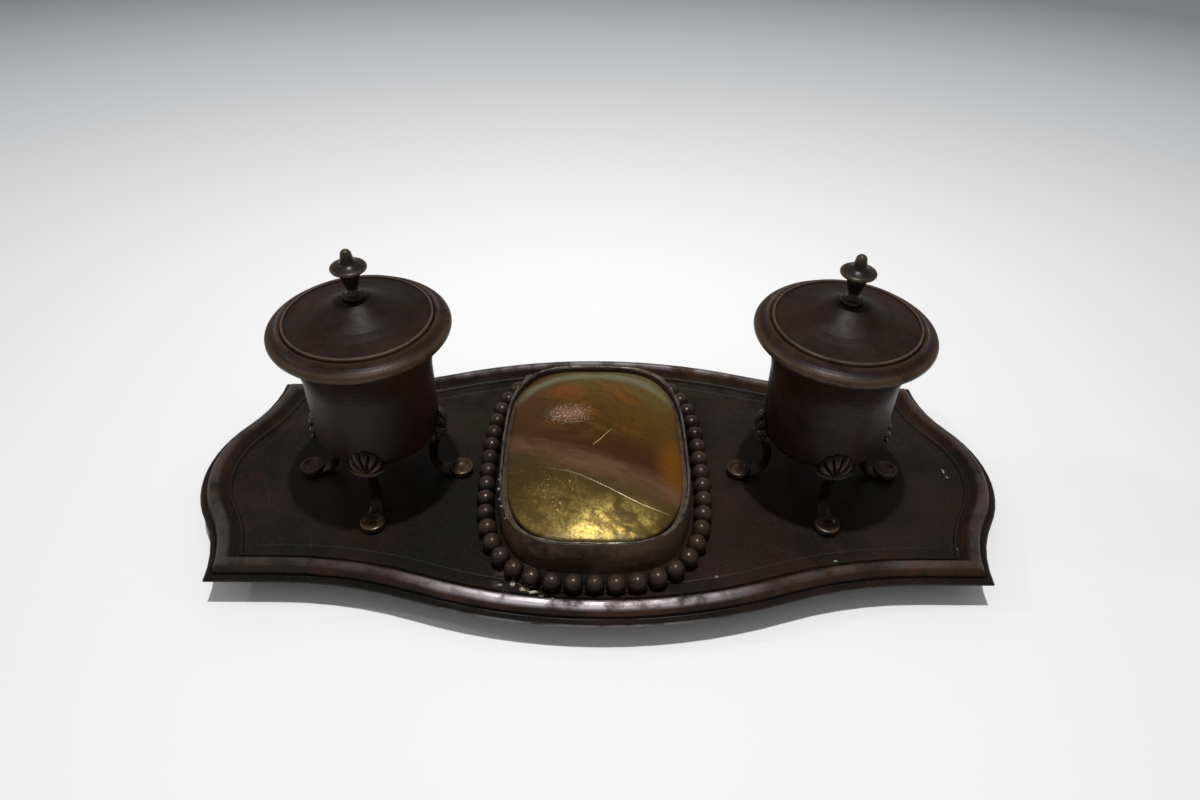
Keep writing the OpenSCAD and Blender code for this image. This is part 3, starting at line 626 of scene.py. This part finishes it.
def painted_edge_highlight(glass, colour):
    """Painted highlight: a broken pale line where the glass meets the lip at the front."""
    edge = glass.times(glass.step(glass.v, -0.945, -0.975),
                       glass.step(glass.math("ABSOLUTE", glass.u), 0.85, 0.5),
                       glass.step(glass.noise(9, 4, 0.7, glass.unit), 0.4, 0.62))
    return glass.mix(glass.times(edge, 0.45), colour, tone(168, 158, 118))


def glittered(glass, colour, glitter):
    """Pink scales in a pale painted sheen."""
    painted_sheen = glass.times(glass.spot(GLITTER_AT, (0.3, 0.16), 0.0),
                       glass.step(glass.cloud, 0.36, 0.6, 0.35, 0.8))
    colour = glass.mix(painted_sheen, colour, tone(156, 114, 90))
    return glass.mix(glitter, colour, tone(240, 208, 190))


def glass_relief(glass, front, rings, glitter):
    """Fine lines, crumpled front, raised scales and sunk rings."""
    crumple = glass.plus(glass.plus(glass.foil, glass.times(glass.creases, 0.5)),
                         glass.times(glass.grit, 0.1))
    relief = glass.plus(glass.times(glass.drawn, 0.25),
                        glass.times(crumple, glass.times(front, 1.2)))
    relief = glass.plus(relief, glass.times(glitter, 0.3))
    return glass.minus(relief, glass.times(rings, 0.08))


def iridescent_glass():
    """Pressed lustre glass: a slanting mauve band between olive and orange, gold in front."""
    glass = Glass("iridescent_glass")
    slant, rings, front, glitter = glass.slant(), glass.rings(), glass.front(), glass.glitter()
    gold = glass.times(front, glass.step(glass.minus(glass.foil, glass.times(glass.creases, 0.16)),
                                         0.3, 0.5))
    colour = clouded(glass, banded(glass, slant), slant)
    colour = gilded(glass, lined(glass, colour, rings), front, gold)
    colour = glittered(glass, painted_edge_highlight(glass, colour), glitter)
    shine = glass.plus(glass.times(gold, 0.7), glass.times(glitter, 0.6), clamp=True)
    rough = glass.plus(glass.step(glass.noise(2.6, 5, 0.6, glass.unit), 0.3, 0.7, 0.26, 0.42),
                       glass.times(front, 0.1))
    glass.set(Base_Color=colour, Metallic=shine, Roughness=rough,
              Specular_IOR_Level=0.1, Specular_Tint=(*tone(255, 228, 170), 1))
    glass.bump(glass_relief(glass, front, rings, glitter), 0.6, 0.0008)
    return glass.material


# ---------------------------------------------------------------- the record's materials
MATERIALS = {
    "tray_bronze": bronze(
        "tray_bronze", tone(25, 20, 16), tone(42, 31, 25), rough=(0.38, 0.5), gloss=0.13,
        shade=tray_shade, green=0.3, scratched=0.25,
        # The tray's light, shiny rim colour is partly painted highlight.
        rubbing_and_sheen=tray_wear_and_highlight, rubbing_and_sheen_colour=tone(206, 197, 201), shine=1.0, polish=-0.08),
    "foot_bronze": bronze("foot_bronze", tone(32, 25, 20), tone(50, 38, 30)),
    "bezel_bronze": bronze(
        "bezel_bronze", tone(62, 50, 42), tone(88, 71, 60), rough=(0.38, 0.52), green=0.2,
        rubbing_and_sheen=bezel_wear, rubbing_and_sheen_colour=tone(150, 142, 132), shine=0.6),
    "bead_bronze": bronze(
        "bead_bronze", tone(26, 20, 16), tone(48, 38, 31), rough=(0.24, 0.36),
        shade=bead_shade, green=0.4, rubbing_and_sheen=bead_wear_and_highlight, rubbing_and_sheen_colour=tone(84, 68, 56)),
    "pot_bronze": bronze(
        "pot_bronze", tone(27, 17, 13), tone(42, 26, 19), rough=(0.32, 0.46), gloss=0.17,
        shade=pot_shade, rubbing_and_sheen=pot_wear, rubbing_and_sheen_colour=tone(84, 66, 51)),
    "leg_bronze": bronze(
        "leg_bronze", tone(18, 12, 9), tone(36, 24, 17), rough=(0.26, 0.38),
        shade=leg_shade, green=0.2, rubbing_and_sheen=leg_wear, rubbing_and_sheen_colour=tone(98, 80, 62)),
    "lid_bronze": bronze(
        "lid_bronze", tone(20, 12, 8), tone(36, 21, 13), rough=(0.4, 0.52), gloss=0.15,
        shade=lid_shade, rubbing_and_sheen=lid_wear_and_highlight, rubbing_and_sheen_colour=tone(104, 88, 74)),
    "finial_brass": bronze(
        "finial_brass", tone(25, 20, 16), tone(42, 34, 28), rough=(0.24, 0.38),
        shade=finial_shade, rubbing_and_sheen=finial_wear, rubbing_and_sheen_colour=tone(108, 93, 74)),
    "fastener_brass": bronze(
        "fastener_brass", tone(90, 78, 58), tone(124, 108, 80), metal=0.7,
        shade=fastener_shade),
    "clear_glass": clear_glass(),
    "iridescent_glass": iridescent_glass(),
}
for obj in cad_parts.values():
    for index, old in enumerate(obj.data.materials):
        obj.material_slots[index].link = "OBJECT"
        obj.material_slots[index].material = MATERIALS[old.name.split(".")[0]]


# ---------------------------------------------------------------- dressing pieces
def piece(name, verts, faces, material, slot, body="stand"):
    """A smooth mesh from points in millimetres, which rides on a body."""
    mesh = bpy.data.meshes.new(name)
    mesh.from_pydata([Vector(v) * MM for v in verts], [], faces)
    mesh.update()
    obj = bpy.data.objects.new(name, mesh)
    bpy.context.scene.collection.objects.link(obj)
    mesh.materials.append(material)
    for polygon in mesh.polygons:
        polygon.use_smooth = True
    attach(obj, body)
    return obj


def turns(count):
    """Equal steps round a full turn, in radians."""
    return [2 * math.pi * i / count for i in range(count)]


def super_point(half_x, half_y, power, angle):
    """The point of a squared oval in a direction."""
    c, s = math.cos(angle), math.sin(angle)
    r = (abs(c / half_x) ** power + abs(s / half_y) ** power) ** (-1 / power)
    return r * c, r * s


def fractal(x, y, z, octaves):
    """Smooth noise about 0 at a place, the same in every run."""
    return noise.fractal(Vector((x, y, z)), 1.0, 2.0, octaves)


def joined_rings(rings, loop=False):
    """Vertices and faces of a skin over rings of equal length, closed at its ends or looped."""
    n = len(rings[0])
    verts = [p for ring in rings for p in ring]
    faces = []
    for k in range(len(rings) if loop else len(rings) - 1):
        a, b = k * n, ((k + 1) % len(rings)) * n
        faces += [(a + i, a + (i + 1) % n, b + (i + 1) % n, b + i) for i in range(n)]
    if not loop:
        faces.append(tuple(range(n - 1, -1, -1)))
        faces.append(tuple(range((len(rings) - 1) * n, len(rings) * n)))
    return verts, faces


# ---------------------------------------------------------------- glass dome
def dome_height(k):
    """Height of the smooth glass at share k of the way out to its edge, as in the solid."""
    angle = math.asin(min(1.0, k * math.sin(GLASS_SWING)))
    edge = math.cos(GLASS_SWING)
    return GLASS_EDGE + GLASS_CROWN * (math.cos(angle) - edge) / (1 - edge)


def glass_power(k):
    """Power of the oval at share k: round in the middle, as square as the bezel outside."""
    return 2 + (BEZEL_SQUARE - 2) * k ** 3


def glass_ripple(x, y, k):
    """Hand-pressed ripples that fade out at the edge, crumpled at the front."""
    fade = 1 - k ** 6
    broad = fractal(x / 17, y / 17, 3.1, 2) * 0.42
    fine = fractal(x / 5.5, y / 2.6, 7.7, 3) * 0.07
    crumple = max(0.0, min(1.0, (-y - 30) / 12)) * fractal(x / 4, y / 4, 1.3, 3) * 0.22
    return (broad + fine + crumple - 0.12) * fade


def glass_surface(x, y):
    """Height of the rippled glass at a place, with x from the middle of the glass."""
    k = min(1.0, math.hypot(x / GLASS_X, y / GLASS_Y))
    for _ in range(8):
        power = glass_power(k)
        k = min(1.0, (abs(x / GLASS_X) ** power + abs(y / GLASS_Y) ** power) ** (1 / power))
    return dome_height(k) + glass_ripple(x, y, k)


def glass_dome():
    """Rings from the bottom of the glass up over its edge to the middle."""
    sides, steps = 260, 84
    rings = []
    for inset, z in ((0.8, GLASS_LOW), (0.1, GLASS_LOW + 0.7)):
        outline = [super_point(GLASS_X - inset, GLASS_Y - inset, BEZEL_SQUARE, t)
                   for t in turns(sides)]
        rings.append([(CENTRE_X + x, y, z) for x, y in outline])
    for j in range(steps):
        k = 1 - j / steps
        outline = [super_point(GLASS_X * k, GLASS_Y * k, glass_power(k), t)
                   for t in turns(sides)]
        rings.append([(CENTRE_X + x, y, dome_height(k) + glass_ripple(x, y, k))
                      for x, y in outline])
    return joined_rings(rings)


glass = piece("glass_dome", *glass_dome(), MATERIALS["iridescent_glass"], "iridescent_glass")
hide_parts("cabochon")


def curve_through(points, steps=10):
    """Points of a smooth curve that goes through a few flat points."""
    samples = []
    for k in range(len(points) - 1):
        p0, p1 = points[max(k - 1, 0)], points[k]
        p2, p3 = points[k + 1], points[min(k + 2, len(points) - 1)]
        for i in range(steps):
            t = i / steps
            samples.append(tuple(0.5 * (2 * a1 + (a2 - a0) * t
                                        + (2 * a0 - 5 * a1 + 4 * a2 - a3) * t ** 2
                                        + (3 * a1 - a0 - 3 * a2 + a3) * t ** 3)
                                 for a0, a1, a2, a3 in zip(p0, p1, p2, p3)))
    samples.append(points[-1])
    return samples


def hairline(name, points, width, rise, material, lean=1.0):
    """A thin tapered ridge that lies on the glass along a curve. lean moves its widest place."""
    samples = curve_through(points)
    rings = []
    for i, (x, y) in enumerate(samples):
        x0, y0 = samples[max(i - 1, 0)]
        x1, y1 = samples[min(i + 1, len(samples) - 1)]
        length = math.hypot(x1 - x0, y1 - y0)
        across = (-(y1 - y0) / length, (x1 - x0) / length)
        s = i / (len(samples) - 1)
        half = width / 2 * (0.12 + math.sin(math.pi * s ** lean) ** 0.8)
        ring = []
        for t in turns(6):
            px = x + across[0] * half * math.cos(t)
            py = y + across[1] * half * math.cos(t)
            z = glass_surface(px, py) + rise * math.sin(t) * half / width * 2
            ring.append((CENTRE_X + px, py, z))
        rings.append(ring)
    return piece(name, *joined_rings(rings), material, "iridescent_glass")


SEAM = [(-20.4, -17.8), (-9.3, -21.1), (1.9, -27.3), (17.5, -35.9), (29.8, -40.0)]
SEAM_LOOK = crust("glass_seam", (0.32, 0.25, 0.14), (0.6, 0.52, 0.34), 0.3, 0.4)
hairline("glass_seam", SEAM, 0.46, 0.12, SEAM_LOOK, lean=1.7)
SCRATCH_LINE = [(-0.9, -5.6), (2.4, -2.0), (7.2, 4.5)]
SCRATCH_LOOK = crust("glass_scratch", (0.5, 0.25, 0.1), (0.85, 0.6, 0.35), 0.35, 0.3)
hairline("glass_scratch", SCRATCH_LINE, 0.34, 0.1, SCRATCH_LOOK)

# ---------------------------------------------------------------- bezel lip
LIP_INSET = 0.5         # of its middle line from the outer face of the bezel
LIP_WAVE = 0.4          # how far it wanders in and out
LIP_LIFT = 0.2          # how far it wanders up and down
LIP_HALF_WIDTH = 0.48
LIP_HALF_HEIGHT = 0.32
LIP_THINNING = 0.16


def bezel_lip():
    """Thin hand-folded edge on top of the bezel wall, wavy along its length."""
    rings = []
    for angle in turns(300):
        c, s = math.cos(angle), math.sin(angle)
        wave = fractal(c * 4, s * 4, 2.0, 3)
        thin = LIP_HALF_HEIGHT + LIP_THINNING * noise.noise(Vector((c * 12, s * 12, 5.0)))
        z = BEZEL_TOP + 0.05 + LIP_LIFT * fractal(c * 7, s * 7, 9.0, 2)
        x, y = super_point(BEZEL_TOP_X - LIP_INSET + LIP_WAVE * wave,
                           BEZEL_TOP_Y - LIP_INSET + LIP_WAVE * wave, BEZEL_SQUARE, angle)
        length = math.hypot(x / GLASS_X, y / GLASS_Y)
        out = (x / GLASS_X / length * LIP_HALF_WIDTH, y / GLASS_Y / length * LIP_HALF_WIDTH)
        rings.append([(CENTRE_X + x + out[0] * math.cos(t), y + out[1] * math.cos(t),
                       z + thin * math.sin(t)) for t in turns(8)])
    return joined_rings(rings, loop=True)


LIP_LOOK = bronze("bezel_lip", tone(50, 42, 36), tone(78, 68, 58), patches=(60, 0.42, 0.6),
                  rough=(0.3, 0.44), metal=0.3, rubbing_and_sheen=lip_wear, rubbing_and_sheen_colour=tone(134, 124, 112))
piece("bezel_lip", *bezel_lip(), LIP_LOOK, "bezel_bronze")

# ---------------------------------------------------------------- dirt on the tray
PEBBLE_FINENESS, PEBBLE_LUMPS, PEBBLE_ROUGH = 3, 1.6, 0.3


def pebble(centre, size, seed):
    """A lumpy pebble, flattened by its three half sizes."""
    bm = bmesh.new()
    bmesh.ops.create_icosphere(bm, subdivisions=PEBBLE_FINENESS, radius=1)
    for v in bm.verts:
        v.co *= 1 + PEBBLE_ROUGH * fractal(*(v.co * PEBBLE_LUMPS + Vector((seed, 0, 0))), 3)
    bm.verts.index_update()
    verts = [tuple(c + s * p for c, s, p in zip(centre, size, v.co)) for v in bm.verts]
    faces = [tuple(v.index for v in f.verts) for f in bm.faces]
    bm.free()
    return verts, faces


def heap(name, pebbles, material, slot):
    """One piece of several pebbles, each given by its middle and its three half sizes."""
    verts, faces = [], []
    for seed, (centre, size) in enumerate(pebbles, 1):
        more, sides = pebble(centre, size, seed)
        faces += [tuple(i + len(verts) for i in side) for side in sides]
        verts += more
    return piece(name, verts, faces, material, slot)


TAN_RESIDUE = [((-31.6, -57.6, PAN_Z), (1.6, 1.0, 0.7)), ((-29.2, -63.9, PAN_Z), (1.9, 1.2, 0.8)),
               ((-26.0, -65.6, PAN_Z), (2.3, 1.0, 0.9)), ((-22.6, -66.6, PAN_Z), (1.5, 0.8, 0.6)),
               ((-33.8, -61.0, PAN_Z), (1.0, 1.4, 0.5)), ((-18.4, -68.4, PAN_Z), (1.1, 0.5, 0.4))]
GREEN_SPECKS = [((150.7, 0.7, PAN_Z + 1), (0.5, 1.2, 0.3)),
                ((151.3, -3.0, PAN_Z + 1), (0.4, 0.7, 0.3)),
                ((142.8, -42.8, PAN_Z), (0.7, 0.9, 0.3)), ((92.8, -49.3, PAN_Z), (0.8, 0.5, 0.3)),
                ((-38.6, -61.8, PAN_Z), (0.9, 0.6, 0.3)), ((44.8, -57.4, PAN_Z), (0.8, 0.6, 0.3))]
heap("tan_residue", TAN_RESIDUE,
     crust("tan_residue", (0.2, 0.14, 0.08), (0.52, 0.45, 0.36)), "tray_bronze")
heap("green_specks", GREEN_SPECKS,
     crust("green_specks", (0.12, 0.15, 0.12), (0.34, 0.38, 0.31)), "tray_bronze")

# ---------------------------------------------------------------- fluted finials
FINIAL_SIDES = 120
FLUTES = 12
FLUTE_DEPTH = 0.13                          # share of the cup's radius
FLUTE_FOOT, FLUTE_FOOT_FADE = 4.6, 1.2      # heights over the lid
FLUTE_TOP, FLUTE_TOP_FADE = 11.2, 0.8


def arc(centre, radius, first, turn, count):
    """Points of an arc in the plane of radius and height, in steps of so many degrees."""
    angles = [math.radians(first + turn * i) for i in range(count)]
    return [(centre[0] + radius * math.cos(t), centre[1] + radius * math.sin(t))
            for t in angles]


def finial_profile():
    """Turned outline from the stud up to the teat, in radius and height over the lid.

    The solid's collar is up to 0.45 mm thicker and its neck and teat up to 0.25 mm thinner.
    """
    stud, collar, waist, neck, disc, teat = 1.5, 4.4, 2.1, 4.2, 6.7, 2.1
    collar_edge, disc_edge = 0.8, 0.75
    shoulder = collar - 1.3
    disc_flat = disc - disc_edge
    teat_foot = teat + 0.6
    points = [(0.02, -4.2), (stud - 0.3, -4.2), (stud, -3.9), (stud, 0), (collar - 0.2, 0)]
    points += arc((collar - collar_edge, 0.95), collar_edge, -60, 37.5, 5)
    points += [(waist + (shoulder - waist) * (1 - i / 5) ** 2.4, 1.8 + 2.4 * i / 5)
               for i in range(6)]
    points += [(waist + (neck - waist) * (i / 14) ** 0.85, 4.2 + 7.2 * i / 14)
               for i in range(1, 15)]
    points += arc((disc_flat, 12.6), disc_edge, -75, 30, 6)
    points += [(teat_foot + (disc_flat - teat_foot) * (1 - i / 6) ** 1.7, 13.35 + 1.9 * i / 6)
               for i in range(1, 7)]
    points += [(teat + 0.32, 16.4), (teat + 0.1, 17.3)]
    points += arc((0, 17.9), teat, 0, 17.6, 6)
    return points


def flute_share(height):
    """How deep the flutes are at a height over the lid: 0 outside the cup, 1 in its middle."""
    risen = max(0.0, min(1.0, (height - FLUTE_FOOT) / FLUTE_FOOT_FADE))
    left = max(0.0, min(1.0, (FLUTE_TOP - height) / FLUTE_TOP_FADE))
    return risen * left


def fluted_finial(side, px):
    """The lid's finial with upright flutes on its cup, in place of the plain one."""
    rings = []
    for radius, height in finial_profile():
        depth = FLUTE_DEPTH * flute_share(height)
        ring = []
        for t in turns(FINIAL_SIDES):
            r = radius * (1 - depth * (0.5 - 0.5 * math.cos(FLUTES * t)) ** 0.8)
            ring.append((px + r * math.cos(t), r * math.sin(t), LID_TOP + height))
        rings.append(ring)
    finial = piece("finial_" + side + "_fluted", *joined_rings(rings), MATERIALS["finial_brass"],
                   "finial_brass", body="lid_" + side + "_body")
    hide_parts("finial_" + side)


fluted_finial("left", -POT_X)
fluted_finial("right", POT_X)


# ---------------------------------------------------------------- solder on the bezel
def on_bezel(degrees, drop, out=0.15):
    """A point on the outer face of the bezel wall, some way under its top."""
    lean = BEZEL_LEAN * drop / BEZEL_HEIGHT
    x, y = super_point(BEZEL_TOP_X + lean + out, BEZEL_TOP_Y + lean + out, BEZEL_SQUARE,
                       math.radians(degrees))
    return CENTRE_X + x, y, BEZEL_TOP - drop


SOLDER_BITS = [(on_bezel(214, 0.6), (0.9, 0.7, 0.5)), (on_bezel(219, 1.5), (0.6, 0.6, 0.7)),
               (on_bezel(224, 0.5), (1.1, 0.6, 0.5)), (on_bezel(229, 2.4), (0.5, 0.4, 0.8)),
               (on_bezel(206, 2.0), (0.4, 0.8, 0.5))]
heap("solder_bits", SOLDER_BITS,
     crust("solder_bits", (0.12, 0.11, 0.1), (0.34, 0.32, 0.29), 0.4, 0.5), "bezel_bronze")

# ---------------------------------------------------------------- floor and light
FLOOR_SIZE = 8
FLOOR_BRIGHT_Y = 0.15                   # middle of the bright pool, in metres
POOL_BACK, POOL_FRONT, POOL_SIDE = 0.215, 0.6, 0.32
POOL_END = 3.4
# painted light and shade: grey of the floor by the distance from the middle of the pool, in the
# sizes above
POOL = [(0, 1.0), (0.3, 0.97), (0.55, 0.92), (0.8, 0.875), (1, 0.83), (1.3, 0.77), (1.75, 0.69),
        (2.25, 0.62), (2.75, 0.51), (POOL_END, 0.34)]
POOL_COOL, COOL_TINT = (1.2, 2.6), (0.93, 0.955, 1.0)


def floor_material():
    """Pale paper with a painted pool of light, brightest just behind the stand, and painted shade
    that makes it greyer and cooler to the back and sides.

    The painted light and shade are in the floor's own colour, so they are there from every side.
    """
    look = Look("floor", "ShaderNodeBsdfDiffuse")
    x, y, _ = look.axes()
    off = look.minus(y, FLOOR_BRIGHT_Y)
    along = look.math("MAXIMUM", look.math("DIVIDE", off, POOL_BACK),
                      look.math("DIVIDE", off, -POOL_FRONT))
    reach = look.length(look.math("DIVIDE", x, POOL_SIDE), along)
    grey = look.ramp(look.step(reach, 0, POOL_END, smooth=False),
                     [(at / POOL_END, (level, level, level)) for at, level in POOL], "LINEAR")
    tinted = look.mix(1.0, grey, COOL_TINT, "MULTIPLY")
    look.set(Color=look.mix(look.step(reach, *POOL_COOL), grey, tinted))
    return look.material


bpy.ops.mesh.primitive_plane_add(size=FLOOR_SIZE)
floor = bpy.context.object
floor.name = "floor"
floor.data.materials.append(floor_material())


def area_light(name, place, size, power):
    """A round lamp that points at the origin, under the middle of the tray."""
    data = bpy.data.lights.new(name, "AREA")
    data.shape = "DISK"
    data.size = size
    data.energy = power
    lamp = bpy.data.objects.new(name, data)
    lamp.location = place
    lamp.rotation_euler = (-Vector(place)).to_track_quat("-Z", "Y").to_euler()
    bpy.context.scene.collection.objects.link(lamp)


# The key lamp is small, for shadows as crisp as the photograph's.
area_light("key", (0.016, -0.04, 1.473), size=0.05, power=14.5)
area_light("left", (-1.5, 0.1, 1.15), size=0.15, power=2.1)

WORLD_STRENGTH = 0.3
world = bpy.data.worlds.new("world")
bpy.context.scene.world = world
world.use_nodes = True
background = world.node_tree.nodes["Background"]
background.inputs["Color"].default_value = (1, 1, 1, 1)
background.inputs["Strength"].default_value = WORLD_STRENGTH
